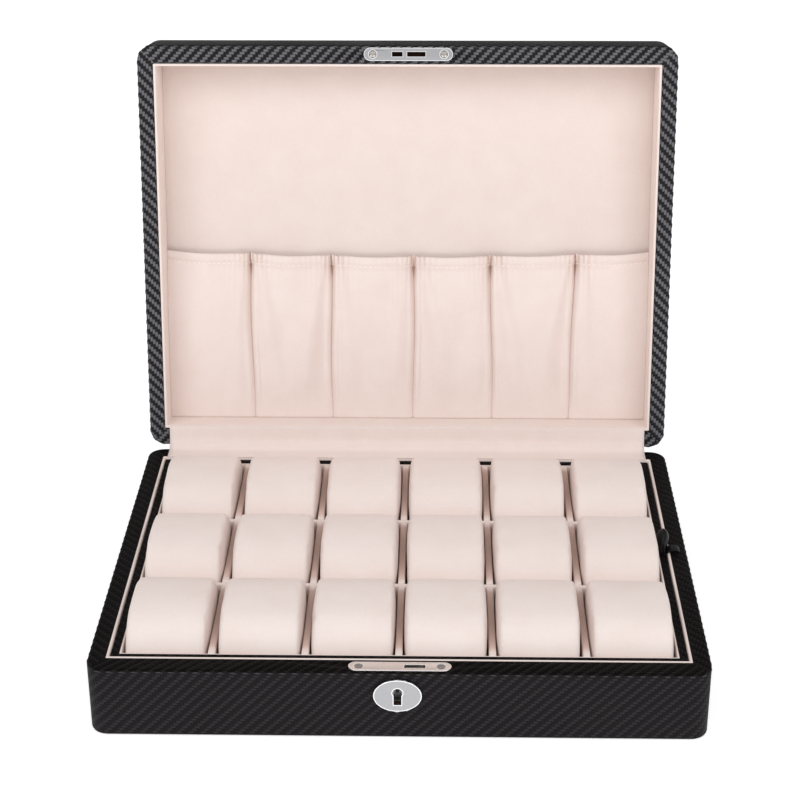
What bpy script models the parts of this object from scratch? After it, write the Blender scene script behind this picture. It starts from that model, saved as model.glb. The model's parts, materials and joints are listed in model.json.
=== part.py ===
# Watch box: a leather-covered case with a hinged lid, a lift-out tray and eighteen watch pillows.
# Metres, +Z up. The origin is the centre of the underside; the front, with the lock, faces -Y.
# The lid and everything on it is built closed, then turned open about the hinge axis by an empty.

import math

import bmesh
import bpy
from mathutils import Matrix, Vector

MM = 0.001

# Case
WIDTH = 340 * MM
DEPTH = 262 * MM
BASE_HEIGHT = 43 * MM
LID_HEIGHT = 40 * MM
PARTING_GAP = 1.0 * MM
CORNER_RADIUS = 10 * MM
RIM_RADIUS = 1.2 * MM
OUTER_EDGE_RADIUS = 2.5 * MM
SIDE_WALL = 9.6 * MM
FRONT_WALL = 11.1 * MM
FLOOR = 5.7 * MM
TOP_BOARD = 5 * MM
CLEARANCE = 0.3 * MM
FOOT_GAP = 0.3 * MM
COVER_THICKNESS = 1.2 * MM
COVER_INSET = 9 * MM

# Linings
LINER = 1.6 * MM
LINER_PROUD = 0.2 * MM
FLOOR_LINING = 0.8 * MM

# Lid
LID_OPEN_ANGLE = math.radians(100)
HINGE_BEHIND = 1.4 * MM
PANEL_DEPTH = 29 * MM
POCKET_DEPTH = 20.5 * MM
POCKET_CLOTH = 1.5 * MM
POCKET_HEIGHT = 109 * MM
POCKET_COUNT = 6
SEAM_WIDTH = 1.5 * MM
ELASTIC_WIDTH = 6 * MM
ELASTIC_THICKNESS = 1.0 * MM

# Tray
TRAY_GAP = 0.5 * MM
TRAY_WALL = 4.1 * MM
TRAY_DROP = 1.1 * MM
TRAY_FLOOR = 2.0 * MM
TRAY_LINER = 0.9 * MM
COLUMNS = 6
ROWS = 3
COLUMN_DIVIDER = 4.0 * MM
ROW_DIVIDER = 3.0 * MM
DIVIDER_DROP = 0.5 * MM

# Pillows
PILLOW_WIDTH = 45 * MM
PILLOW_TOP = 58.5 * MM
PILLOW_END_GAP = 0.4 * MM
PILLOW_SQUARENESS = 2.3
PILLOW_EDGE = 2.0 * MM
PILLOW_POINTS = 28

# Pull tab
TAB_Y = 8 * MM
TAB_WIDTH = 15 * MM
TAB_HEIGHT = 11.5 * MM
TAB_THICKNESS = 2.2 * MM
TAB_BAND = 2.9 * MM
TAB_CORNER = 5.2 * MM

# Lock
PLATE_X = 0.9 * MM
PLATE_LENGTH = 56 * MM
PLATE_WIDTH = 8.2 * MM
PLATE_THICKNESS = 1.2 * MM
PLATE_PROUD = 0.3 * MM
PLATE_FROM_FRONT = 5.2 * MM
PLATE_END_ROUNDING = 0.98
SCREW_OFFSET = 22.4 * MM
SCREW_HEAD = 2.2 * MM
SCREW_SHANK = 1.0 * MM
SCREW_LENGTH = 9 * MM
SCREW_CORE = 0.97 * MM
SCREW_TIP = 0.3 * MM
SCREW_OVERLAP = 0.3 * MM
SLOT_WIDTH = 3.0 * MM
STRIKE_SLOTS = ((PLATE_X - 10.3 * MM, PLATE_X - 3.6 * MM), (PLATE_X - 0.8 * MM, PLATE_X + 10.8 * MM))
LOCK_SLOTS = ((PLATE_X + 2.4 * MM, PLATE_X + 13.8 * MM),)
KEYHOLE_X = -0.3 * MM
KEYHOLE_Z = 30.3 * MM
KEYHOLE_RADIUS = 2.7 * MM
KEYHOLE_STEM = 4.2 * MM
KEYHOLE_BOTTOM = 22.5 * MM
ESCUTCHEON_SIZE = (26.5 * MM, 20.2 * MM)
ESCUTCHEON_Z = 28.4 * MM
ESCUTCHEON_THICKNESS = 1.3 * MM
ESCUTCHEON_EDGE = 0.6 * MM
CASE_LOW = (-18 * MM, 20 * MM)
CASE_HIGH = (20 * MM, 41.7 * MM)
CASE_DEPTH = 7 * MM
CASE_WALL = 0.7 * MM
CASE_FROM_FRONT = 2.6 * MM
POST_RADIUS = 1.1 * MM
POST_SETBACK = 0.4 * MM
HOOK_PIVOT = (1.5 * MM, 36.5 * MM)
HOOK_INNER = 9.6 * MM
HOOK_OUTER = 12.0 * MM
HOOK_THICKNESS = 1.8 * MM
HOOK_TIP_ANGLE = 110
HOOK_TAIL_ANGLE = 15
HOOK_SPOKE_ANGLE = 25
HOOK_SWING = 90
HOOK_ROOM = 0.8 * MM
HOOK_STEPS = 10
HUB_RADIUS = 2.4 * MM
SPOKE_START = 1.4 * MM
SPOKE_HALF = 1.1 * MM
SPOKE_INSET = 0.1 * MM
PIVOT_RADIUS = 1.0 * MM

# Hinges
HINGE_X = 100 * MM
HINGE_LENGTH = 50 * MM
BARREL_RADIUS = 2.6 * MM
PIN_RADIUS = 1.0 * MM
LEAF_THICKNESS = 1.0 * MM
LEAF_WIDTH = 9 * MM
LEAF_OVERLAP = 1.0 * MM
KNUCKLE_GAP = 0.3 * MM
STRIP_THICKNESS = 0.8 * MM
STRIP_RECESS = 1.0 * MM
STRIP_WIDTH = 8 * MM
STRIP_HALF_LENGTH = 157 * MM

# Sizes that follow from the ones above
HALF_W = WIDTH / 2
HALF_D = DEPTH / 2
LID_RIM = BASE_HEIGHT + PARTING_GAP
LID_TOP = LID_RIM + LID_HEIGHT
AXIS_Y = HALF_D + HINGE_BEHIND
AXIS_Z = BASE_HEIGHT + PARTING_GAP / 2
WELL_X = HALF_W - SIDE_WALL
WELL_Y = HALF_D - FRONT_WALL
LINER_X = WELL_X - CLEARANCE - LINER
LINER_Y = WELL_Y - CLEARANCE - LINER
FLOOR_TOP = FOOT_GAP + FLOOR
TRAY_BOTTOM = FLOOR_TOP + FLOOR_LINING + 2 * CLEARANCE
TRAY_TOP = BASE_HEIGHT - TRAY_DROP
TRAY_X = LINER_X - TRAY_GAP
TRAY_Y = LINER_Y - TRAY_GAP
TRAY_IN_X = TRAY_X - TRAY_WALL
TRAY_IN_Y = TRAY_Y - TRAY_WALL
CELL_X = TRAY_IN_X - CLEARANCE - TRAY_LINER
CELL_Y = TRAY_IN_Y - CLEARANCE - TRAY_LINER
COLUMN_PITCH = (2 * CELL_X + COLUMN_DIVIDER) / COLUMNS
ROW_PITCH = (2 * CELL_Y + ROW_DIVIDER) / ROWS
TRAY_FLOOR_TOP = TRAY_BOTTOM + TRAY_FLOOR
DIVIDER_TOP = TRAY_TOP - DIVIDER_DROP
PILLOW_BOTTOM = TRAY_FLOOR_TOP + CLEARANCE
PLATE_Y = -HALF_D + PLATE_FROM_FRONT
CASE_FRONT = -HALF_D + CASE_FROM_FRONT
CUT = 2 * MM
SLIVER = 0.01 * MM


def clear_scene():
    for obj in list(bpy.data.objects):
        bpy.data.objects.remove(obj, do_unlink=True)


def make_collection(name):
    collection = bpy.data.collections.new(name)
    bpy.context.scene.collection.children.link(collection)
    return collection


def make_material(name, color, roughness, metallic=0.0):
    material = bpy.data.materials.new(name)
    material.use_nodes = True
    shader = material.node_tree.nodes["Principled BSDF"]
    shader.inputs["Base Color"].default_value = (*color, 1.0)
    shader.inputs["Roughness"].default_value = roughness
    shader.inputs["Metallic"].default_value = metallic
    return material


clear_scene()
PARTS = make_collection("watch_box")
CUTTERS = make_collection("cutters")

LEATHER = make_material("black_leather", (0.018, 0.018, 0.019), 0.45)
VELVET = make_material("cream_velvet", (0.86, 0.73, 0.66), 0.95)
FELT = make_material("black_felt", (0.02, 0.02, 0.02), 0.95)
CHROME = make_material("chromed_zinc", (0.72, 0.72, 0.74), 0.2, 1.0)
PLAIN_STEEL = make_material("plain_steel", (0.45, 0.45, 0.46), 0.35, 1.0)
ELASTIC = make_material("white_elastic", (0.8, 0.74, 0.7), 0.9)


def block(low, high):
    """A bmesh box between two corners."""
    bm = bmesh.new()
    size = [high[i] - low[i] for i in range(3)]
    centre = Vector([(high[i] + low[i]) / 2 for i in range(3)])
    bmesh.ops.create_cube(bm, size=1.0, matrix=Matrix.Translation(centre) @ Matrix.Diagonal((*size, 1.0)))
    return bm


def bevel_where(bm, test, radius, segments):
    """Rounds the edges whose two ends both pass the test."""
    edges = [e for e in bm.edges if test(e.verts[0].co, e.verts[1].co)]
    bmesh.ops.bevel(bm, geom=edges, offset=radius, segments=segments, profile=0.5, affect="EDGES")


def round_upright_edges(bm, radius, segments):
    bevel_where(bm, lambda a, b: abs(a.z - b.z) > 1e-6, radius, segments)


def round_level_edges(bm, z, radius, segments):
    bevel_where(bm, lambda a, b: abs(a.z - z) < 1e-6 and abs(b.z - z) < 1e-6, radius, segments)


def cylinder(radius, start, end, segments=24, end_radius=None):
    """A closed cylinder or cone from one point to another."""
    start = Vector(start)
    end = Vector(end)
    turn = (end - start).to_track_quat("Z", "Y").to_matrix().to_4x4()
    bm = bmesh.new()
    bmesh.ops.create_cone(
        bm, cap_ends=True, segments=segments, radius1=radius,
        radius2=radius if end_radius is None else end_radius, depth=(end - start).length,
        matrix=Matrix.Translation((start + end) / 2) @ turn,
    )
    return bm


def place(name, bm, material, pivot=None):
    """Makes the object of one sub-part; with a pivot, its origin is on the pivot's axis."""
    if pivot:
        bmesh.ops.translate(bm, verts=bm.verts, vec=-Vector(pivot["centre"]))
    mesh = bpy.data.meshes.new(name)
    bm.to_mesh(mesh)
    bm.free()
    mesh.shade_smooth()
    mesh.set_sharp_from_angle(angle=math.radians(35))
    obj = bpy.data.objects.new(name, mesh)
    if material:
        obj.data.materials.append(material)
        PARTS.objects.link(obj)
    else:
        CUTTERS.objects.link(obj)
        obj.hide_render = True
        obj.display_type = "WIRE"
    if pivot:
        obj.parent = pivot["empty"]
    return obj


def combine(obj, bm, operation, pivot=None):
    """Cuts a shape from an object, or joins it on, with a live Boolean."""
    tool = place(f"{obj.name}_tool_{len(obj.modifiers)}", bm, None, pivot)
    modifier = obj.modifiers.new(tool.name, "BOOLEAN")
    modifier.object = tool
    modifier.operation = operation
    modifier.solver = "EXACT"


def cut(obj, bm, pivot=None):
    combine(obj, bm, "DIFFERENCE", pivot)


def join(obj, bm, pivot=None):
    combine(obj, bm, "UNION", pivot)


def make_pivot(name, centre, turn=0.0):
    empty = bpy.data.objects.new(name, None)
    PARTS.objects.link(empty)
    empty.location = centre
    empty.rotation_euler = (turn, 0.0, 0.0)
    return {"empty": empty, "centre": centre}


LID = make_pivot("lid_hinge_axis", (0.0, AXIS_Y, AXIS_Z), -LID_OPEN_ANGLE)
TRAY = make_pivot("tray_lift", (0.0, 0.0, TRAY_BOTTOM))
HOOK = make_pivot("lock_hook_axis", (HOOK_PIVOT[0], PLATE_Y, HOOK_PIVOT[1]))


def ring(name, outer, inner, low, high, material, pivot=None):
    """A rectangular frame, open above and below, given its outer and inner half sizes."""
    obj = place(name, block((-outer[0], -outer[1], low), (outer[0], outer[1], high)), material, pivot)
    cut(obj, block((-inner[0], -inner[1], low - CUT), (inner[0], inner[1], high + CUT)), pivot)
    return obj


def plate(name, low, high, material, pivot=None):
    return place(name, block(low, high), material, pivot)


def keyhole(front, back, margin):
    """The two cutters of a keyhole: a round top and the stem below it."""
    radius = KEYHOLE_RADIUS + margin
    half_stem = KEYHOLE_STEM / 2 + margin
    yield cylinder(radius, (KEYHOLE_X, front, KEYHOLE_Z), (KEYHOLE_X, back, KEYHOLE_Z))
    yield block(
        (KEYHOLE_X - half_stem, front + SLIVER, KEYHOLE_BOTTOM - margin),
        (KEYHOLE_X + half_stem, back - SLIVER, KEYHOLE_Z),
    )


def hinge_side(side):
    return (side * HINGE_X - HINGE_LENGTH / 2, side * HINGE_X + HINGE_LENGTH / 2)


def hinge_mortises(shell, rim, inward, pivot=None):
    """Seats for both leaves and barrels in a rear rim; inward is +1 for the lid and -1 for the base."""
    depth = inward * (BARREL_RADIUS + CLEARANCE)
    low = min(AXIS_Z + depth, rim - inward * CUT)
    high = max(AXIS_Z + depth, rim - inward * CUT)
    front = HALF_D - LEAF_WIDTH - HINGE_BEHIND - CLEARANCE
    for side in (-1, 1):
        left, right = hinge_side(side)
        cut(shell, block((left - CLEARANCE, front, low), (right + CLEARANCE, HALF_D + CUT, high)), pivot)


def strip_recess(shell, rim, inward, pivot=None):
    """A shallow step in the rear rim that the hinge lining lies in."""
    low = min(rim + inward * STRIP_RECESS, rim - inward * CUT)
    high = max(rim + inward * STRIP_RECESS, rim - inward * CUT)
    half = STRIP_HALF_LENGTH + CLEARANCE
    cut(shell, block((-half, WELL_Y - CUT, low), (half, WELL_Y + STRIP_WIDTH + 2 * CLEARANCE, high)), pivot)


def screw_holes(shell, rim, inward, pivot=None):
    depth = inward * (SCREW_LENGTH + CLEARANCE)
    for side in (-1, 1):
        x = PLATE_X + side * SCREW_OFFSET
        mouth = (x, PLATE_Y, rim - inward * CUT)
        cut(shell, cylinder(SCREW_SHANK + CLEARANCE, mouth, (x, PLATE_Y, rim + depth), 12), pivot)


def plate_outline(low, high, margin):
    """An obround block for a lock plate, or for the recess it lies in."""
    half_length = PLATE_LENGTH / 2 + margin
    half_width = PLATE_WIDTH / 2 + margin
    bm = block(
        (PLATE_X - half_length, PLATE_Y - half_width, low),
        (PLATE_X + half_length, PLATE_Y + half_width, high),
    )
    round_upright_edges(bm, half_width * PLATE_END_ROUNDING, 6)
    return bm


def make_base():
    bm = block((-HALF_W, -HALF_D, FOOT_GAP), (HALF_W, HALF_D, BASE_HEIGHT))
    round_upright_edges(bm, CORNER_RADIUS, 7)
    round_level_edges(bm, BASE_HEIGHT, RIM_RADIUS, 2)
    round_level_edges(bm, FOOT_GAP, OUTER_EDGE_RADIUS / 2, 2)
    shell = place("base_shell", bm, LEATHER)
    cut(shell, block((-WELL_X, -WELL_Y, FLOOR_TOP), (WELL_X, WELL_Y, BASE_HEIGHT + CUT)))
    cover_x = HALF_W - COVER_INSET
    cover_y = HALF_D - COVER_INSET
    recess_top = COVER_THICKNESS + CLEARANCE
    cut(shell, block((-cover_x, -cover_y, -CUT), (cover_x, cover_y, recess_top)))
    strip_recess(shell, BASE_HEIGHT, -1)
    hinge_mortises(shell, BASE_HEIGHT, -1)
    seat = BASE_HEIGHT + PLATE_PROUD - PLATE_THICKNESS - CLEARANCE
    cut(shell, plate_outline(seat, BASE_HEIGHT + CUT, CLEARANCE))
    screw_holes(shell, BASE_HEIGHT, -1)
    mortise_low = (CASE_LOW[0] - CLEARANCE, CASE_FRONT - CLEARANCE, CASE_LOW[1] - CLEARANCE)
    mortise_high = (CASE_HIGH[0] + CLEARANCE, CASE_FRONT + CASE_DEPTH + CLEARANCE, BASE_HEIGHT + CUT)
    cut(shell, block(mortise_low, mortise_high))
    for cutter in keyhole(-HALF_D - CUT, CASE_FRONT, CLEARANCE):
        cut(shell, cutter)

    felt_x = cover_x - CLEARANCE
    felt_y = cover_y - CLEARANCE
    plate("base_bottom_cover", (-felt_x, -felt_y, 0.0), (felt_x, felt_y, COVER_THICKNESS), FELT)
    outer = (WELL_X - CLEARANCE, WELL_Y - CLEARANCE)
    ring("base_lining", outer, (LINER_X, LINER_Y), FLOOR_TOP + CLEARANCE, BASE_HEIGHT + LINER_PROUD, VELVET)
    sheet_x = LINER_X - CLEARANCE
    sheet_y = LINER_Y - CLEARANCE
    sheet_low = FLOOR_TOP + CLEARANCE
    sheet_high = sheet_low + FLOOR_LINING
    plate("base_floor_lining", (-sheet_x, -sheet_y, sheet_low), (sheet_x, sheet_y, sheet_high), VELVET)


def make_lid():
    bm = block((-HALF_W, -HALF_D, LID_RIM), (HALF_W, HALF_D, LID_TOP))
    round_upright_edges(bm, CORNER_RADIUS, 7)
    round_level_edges(bm, LID_RIM, RIM_RADIUS, 2)
    round_level_edges(bm, LID_TOP, OUTER_EDGE_RADIUS, 3)
    shell = place("lid_shell", bm, LEATHER, LID)
    cut(shell, block((-WELL_X, -WELL_Y, LID_RIM - CUT), (WELL_X, WELL_Y, LID_TOP - TOP_BOARD)), LID)
    strip_recess(shell, LID_RIM, 1, LID)
    hinge_mortises(shell, LID_RIM, 1, LID)
    seat = LID_RIM - PLATE_PROUD + PLATE_THICKNESS + CLEARANCE
    cut(shell, plate_outline(LID_RIM - CUT, seat, CLEARANCE), LID)
    screw_holes(shell, LID_RIM, 1, LID)
    hook_top = HOOK_PIVOT[1] + HOOK_OUTER + HOOK_ROOM
    left = STRIKE_SLOTS[0][0] - HOOK_ROOM
    right = STRIKE_SLOTS[1][1] + HOOK_ROOM
    half = SLOT_WIDTH / 2 + HOOK_ROOM
    cut(shell, block((left, PLATE_Y - half, LID_RIM - CUT), (right, PLATE_Y + half, hook_top)), LID)

    outer = (WELL_X - CLEARANCE, WELL_Y - CLEARANCE)
    top = LID_TOP - TOP_BOARD - CLEARANCE
    ring("lid_lining", outer, (LINER_X, LINER_Y), LID_RIM - LINER_PROUD, top, VELVET, LID)
    panel_x = LINER_X - CLEARANCE
    panel_y = LINER_Y - CLEARANCE
    panel_z = LID_RIM + PANEL_DEPTH
    plate("lid_panel", (-panel_x, -panel_y, panel_z), (panel_x, panel_y, top), VELVET, LID)


def make_pockets():
    """One cloth front sewn down along upright seams, with a band of elastic in its hem."""
    half = LINER_X - 2 * CLEARANCE
    foot = LINER_Y - CLEARANCE
    hem = foot - POCKET_HEIGHT
    front = LID_RIM + POCKET_DEPTH
    back = front + POCKET_CLOTH
    seam_end = LID_RIM + PANEL_DEPTH - CLEARANCE
    sheet = place("pocket_sheet", block((-half, hem, front), (half, foot, back)), VELVET, LID)
    seam_start = hem + ELASTIC_WIDTH + 2 * CLEARANCE
    overlap = 0.5 * MM
    pitch = (2 * half - SEAM_WIDTH) / POCKET_COUNT
    for i in range(POCKET_COUNT + 1):
        left = -half + i * pitch
        rib = block((left, seam_start, back - overlap), (left + SEAM_WIDTH, foot, seam_end))
        join(sheet, rib, LID)
    join(sheet, block((-half, foot - SEAM_WIDTH, back - overlap), (half, foot, seam_end)), LID)
    low = (-half, hem + CLEARANCE, back + CLEARANCE)
    high = (half, hem + CLEARANCE + ELASTIC_WIDTH, back + CLEARANCE + ELASTIC_THICKNESS)
    plate("pocket_elastic", low, high, ELASTIC, LID)


def make_tray():
    ring("tray_frame", (TRAY_X, TRAY_Y), (TRAY_IN_X, TRAY_IN_Y), TRAY_BOTTOM, TRAY_TOP, LEATHER, TRAY)
    floor_x = TRAY_IN_X - CLEARANCE
    floor_y = TRAY_IN_Y - CLEARANCE
    plate("tray_floor", (-floor_x, -floor_y, TRAY_BOTTOM), (floor_x, floor_y, TRAY_FLOOR_TOP), VELVET, TRAY)
    low = TRAY_FLOOR_TOP + CLEARANCE
    ring("tray_wall_lining", (floor_x, floor_y), (CELL_X, CELL_Y), low, DIVIDER_TOP, VELVET, TRAY)


def cell_centre(index, pitch, count):
    return (index - (count - 1) / 2) * pitch


def divider_positions(pitch, count):
    return [(index - count / 2) * pitch for index in range(1, count)]


def make_dividers():
    """Boards that cross with half-lap joints: columns are slotted from above, rows from below."""
    low = TRAY_FLOOR_TOP + CLEARANCE
    middle = (low + DIVIDER_TOP) / 2
    half_x = COLUMN_DIVIDER / 2
    half_y = ROW_DIVIDER / 2
    lap_x = half_x + CLEARANCE
    lap_y = half_y + CLEARANCE
    column_x = divider_positions(COLUMN_PITCH, COLUMNS)
    row_y = divider_positions(ROW_PITCH, ROWS)
    end_x = CELL_X - CLEARANCE
    end_y = CELL_Y - CLEARANCE
    for number, x in enumerate(column_x, 1):
        board = block((x - half_x, -end_y, low), (x + half_x, end_y, DIVIDER_TOP))
        obj = place(f"column_divider_{number}", board, VELVET, TRAY)
        for y in row_y:
            corner = (x - lap_x, y - lap_y, middle - CLEARANCE / 2)
            cut(obj, block(corner, (x + lap_x, y + lap_y, DIVIDER_TOP + CUT)), TRAY)
    for number, y in enumerate(row_y, 1):
        board = block((-end_x, y - half_y, low), (end_x, y + half_y, DIVIDER_TOP))
        obj = place(f"row_divider_{number}", board, VELVET, TRAY)
        for x in column_x:
            corner = (x - lap_x, y - lap_y, low - CUT)
            cut(obj, block(corner, (x + lap_x, y + lap_y, middle + CLEARANCE / 2)), TRAY)


def pillow_shape(centre_x, centre_y):
    """A rounded cushion: a squarish oval across the box's depth, drawn out along X."""
    half_length = (ROW_PITCH - ROW_DIVIDER) / 2 - PILLOW_END_GAP
    half_height = (PILLOW_TOP - PILLOW_BOTTOM) / 2
    centre_z = (PILLOW_TOP + PILLOW_BOTTOM) / 2
    power = 2 / PILLOW_SQUARENESS
    bm = bmesh.new()
    bmesh.ops.create_circle(bm, cap_ends=True, radius=1.0, segments=PILLOW_POINTS)
    for vert in bm.verts:
        across = math.copysign(abs(vert.co.x) ** power, vert.co.x)
        up = math.copysign(abs(vert.co.y) ** power, vert.co.y)
        vert.co = (centre_x - PILLOW_WIDTH / 2, centre_y + half_length * across, centre_z + half_height * up)
    made = bmesh.ops.extrude_face_region(bm, geom=list(bm.faces))
    moved = [g for g in made["geom"] if isinstance(g, bmesh.types.BMVert)]
    bmesh.ops.translate(bm, verts=moved, vec=(PILLOW_WIDTH, 0.0, 0.0))
    bmesh.ops.recalc_face_normals(bm, faces=bm.faces)
    bevel_where(bm, lambda a, b: abs(a.x - b.x) < 1e-6, PILLOW_EDGE, 2)
    return bm


def make_pillows():
    for row in range(ROWS):
        for column in range(COLUMNS):
            x = cell_centre(column, COLUMN_PITCH, COLUMNS)
            y = cell_centre(row, ROW_PITCH, ROWS)
            lift = make_pivot(f"lift_{row + 1}_{column + 1}", (x, y, PILLOW_BOTTOM))
            place(f"pillow_{row + 1}_{column + 1}", pillow_shape(x, y), VELVET, lift)


def make_pull_tab():
    """A leather loop that stands on the tray frame's right side."""
    x = (TRAY_X + TRAY_IN_X) / 2
    half = TAB_WIDTH / 2
    low = TRAY_TOP + CLEARANCE
    top = low + TAB_HEIGHT
    bm = block((x - TAB_THICKNESS / 2, TAB_Y - half, low), (x + TAB_THICKNESS / 2, TAB_Y + half, top))
    bevel_where(bm, lambda a, b: abs(a.x - b.x) > 1e-6 and a.z > top - 1e-6, TAB_CORNER, 4)
    tab = place("pull_tab", bm, LEATHER, TRAY)
    hole = block(
        (x - TAB_THICKNESS, TAB_Y - half + TAB_BAND, low + TAB_BAND),
        (x + TAB_THICKNESS, TAB_Y + half - TAB_BAND, top - TAB_BAND),
    )
    cut(tab, hole, TRAY)


def make_plate(name, low, face, slots, pivot=None):
    """A chromed plate with countersunk screw holes and slots; face is +1 when its show side is up."""
    high = low + PLATE_THICKNESS
    bm = plate_outline(low, high, 0.0)
    obj = place(name, bm, CHROME, pivot)
    for left, right in slots:
        half = SLOT_WIDTH / 2
        cut(obj, block((left, PLATE_Y - half, low - CUT), (right, PLATE_Y + half, high + CUT)), pivot)
    show = high if face > 0 else low
    hidden = low if face > 0 else high
    for side in (-1, 1):
        x = PLATE_X + side * SCREW_OFFSET
        slope = (SCREW_HEAD - SCREW_SHANK) / PLATE_THICKNESS
        beyond = 0.2 * MM
        wide = SCREW_HEAD + CLEARANCE + slope * beyond
        narrow = SCREW_SHANK + CLEARANCE - slope * beyond
        hole_start = (x, PLATE_Y, show + face * beyond)
        hole_end = (x, PLATE_Y, hidden - face * beyond)
        cut(obj, cylinder(wide, hole_start, hole_end, 20, narrow), pivot)
        screw = cylinder(SCREW_HEAD, (x, PLATE_Y, show), (x, PLATE_Y, hidden), 20, SCREW_SHANK)
        side_name = "left" if side < 0 else "right"
        screw_obj = place(f"{name}_screw_{side_name}", screw, CHROME, pivot)
        tip = show - face * SCREW_LENGTH
        inside = hidden + face * SCREW_OVERLAP
        join(screw_obj, cylinder(SCREW_CORE, (x, PLATE_Y, inside), (x, PLATE_Y, tip), 10, SCREW_TIP), pivot)


def make_lock():
    make_plate("lock_plate", BASE_HEIGHT + PLATE_PROUD - PLATE_THICKNESS, 1, LOCK_SLOTS)
    make_plate("strike_plate", LID_RIM - PLATE_PROUD, -1, STRIKE_SLOTS, LID)

    bm = cylinder(1.0, (0.0, 0.0, 0.0), (0.0, 0.0, ESCUTCHEON_THICKNESS), 48)
    round_level_edges(bm, ESCUTCHEON_THICKNESS, ESCUTCHEON_EDGE, 2)
    size = Matrix.Diagonal((ESCUTCHEON_SIZE[0] / 2, ESCUTCHEON_SIZE[1] / 2, 1.0, 1.0))
    stand = Matrix.Rotation(math.radians(90), 4, "X")
    seat = Matrix.Translation((KEYHOLE_X, -HALF_D - CLEARANCE, ESCUTCHEON_Z))
    bmesh.ops.transform(bm, matrix=seat @ stand @ size, verts=bm.verts)
    escutcheon = place("escutcheon", bm, CHROME)
    for cutter in keyhole(-HALF_D - ESCUTCHEON_THICKNESS - CUT, -HALF_D + CUT, 0.0):
        cut(escutcheon, cutter)

    back = CASE_FRONT + CASE_DEPTH
    low = (CASE_LOW[0], CASE_FRONT, CASE_LOW[1])
    case = place("lock_case", block(low, (CASE_HIGH[0], back, CASE_HIGH[1])), PLAIN_STEEL)
    inner_low = [value + CASE_WALL for value in low]
    cut(case, block(inner_low, (CASE_HIGH[0] - CASE_WALL, back - CASE_WALL, CASE_HIGH[1] + CUT)))
    for cutter in keyhole(CASE_FRONT - CUT, CASE_FRONT + CASE_WALL + CUT / 4, 0.0):
        cut(case, cutter)
    x, z = HOOK_PIVOT
    overlap = CASE_WALL / 2
    join(case, cylinder(PIVOT_RADIUS, (x, CASE_FRONT + overlap, z), (x, back - overlap, z), 16))

    post_front = -HALF_D + POST_SETBACK
    post_back = back - CASE_WALL - CLEARANCE
    post = cylinder(POST_RADIUS, (KEYHOLE_X, post_front, KEYHOLE_Z), (KEYHOLE_X, post_back, KEYHOLE_Z), 16)
    place("key_post", post, PLAIN_STEEL)


def make_hook():
    """A curved bolt on a spoke and a hub; it rests below the lock plate and swings up through its slot."""
    x, z = HOOK_PIVOT
    front = PLATE_Y - HOOK_THICKNESS / 2
    rear = PLATE_Y + HOOK_THICKNESS / 2
    hub = cylinder(HUB_RADIUS, (x, front, z), (x, rear, z), 20)
    obj = place("lock_hook", hub, PLAIN_STEEL, HOOK)
    middle_radius = (HOOK_INNER + HOOK_OUTER) / 2
    start = HOOK_TAIL_ANGLE - HOOK_SWING
    finish = HOOK_TIP_ANGLE - HOOK_SWING
    arc = bmesh.new()
    corners = []
    for radius in (HOOK_INNER, HOOK_OUTER):
        for y in (front, rear):
            angle = math.radians(start)
            corners.append(arc.verts.new((x + radius * math.cos(angle), y, z + radius * math.sin(angle))))
    face = arc.faces.new((corners[0], corners[1], corners[3], corners[2]))
    bmesh.ops.spin(
        arc, geom=[face, *face.edges, *face.verts], cent=(x, 0.0, z), axis=(0.0, -1.0, 0.0),
        angle=math.radians(finish - start), steps=HOOK_STEPS, use_merge=False, use_duplicate=False,
    )
    bmesh.ops.recalc_face_normals(arc, faces=arc.faces)
    join(obj, arc, HOOK)
    spoke_low = (x + SPOKE_START, front + SPOKE_INSET, z - SPOKE_HALF)
    spoke = block(spoke_low, (x + middle_radius, rear - SPOKE_INSET, z + SPOKE_HALF))
    turn = Matrix.Rotation(math.radians(-(HOOK_SPOKE_ANGLE - HOOK_SWING)), 4, "Y")
    about = Matrix.Translation((x, 0.0, z))
    bmesh.ops.transform(spoke, matrix=about @ turn @ about.inverted(), verts=spoke.verts)
    join(obj, spoke, HOOK)
    cut(obj, cylinder(PIVOT_RADIUS + CLEARANCE, (x, front - CUT, z), (x, rear + CUT, z), 16), HOOK)


def make_leaf(name, side, inward, pivot=None):
    """One hinge leaf with its knuckles: the base leaf has the two outer ones, the lid leaf the middle one."""
    left, right = hinge_side(side)
    third = HINGE_LENGTH / 3
    if inward < 0:
        spans = ((left, left + third - KNUCKLE_GAP), (right - third + KNUCKLE_GAP, right))
    else:
        spans = ((left + third, right - third),)
    far = AXIS_Z + inward * BARREL_RADIUS
    near = far - inward * LEAF_THICKNESS
    low, high = min(far, near), max(far, near)
    leaf_back = AXIS_Y - BARREL_RADIUS - CLEARANCE
    leaf = block((left, HALF_D - LEAF_WIDTH - HINGE_BEHIND, low), (right, leaf_back, high))
    obj = place(name, leaf, PLAIN_STEEL, pivot)
    for start, end in spans:
        join(obj, block((start, leaf_back - LEAF_OVERLAP, low), (end, AXIS_Y, high)), pivot)
        join(obj, cylinder(BARREL_RADIUS, (start, AXIS_Y, AXIS_Z), (end, AXIS_Y, AXIS_Z), 20), pivot)
    bore_start = (left - CUT, AXIS_Y, AXIS_Z)
    bore_end = (right + CUT, AXIS_Y, AXIS_Z)
    cut(obj, cylinder(PIN_RADIUS + CLEARANCE, bore_start, bore_end, 16), pivot)


def make_hinges():
    for side, word in ((-1, "left"), (1, "right")):
        make_leaf(f"hinge_base_leaf_{word}", side, -1)
        make_leaf(f"hinge_lid_leaf_{word}", side, 1, LID)
        left, right = hinge_side(side)
        pin = cylinder(PIN_RADIUS, (left, AXIS_Y, AXIS_Z), (right, AXIS_Y, AXIS_Z), 16)
        place(f"hinge_pin_{word}", pin, PLAIN_STEEL)


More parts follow.
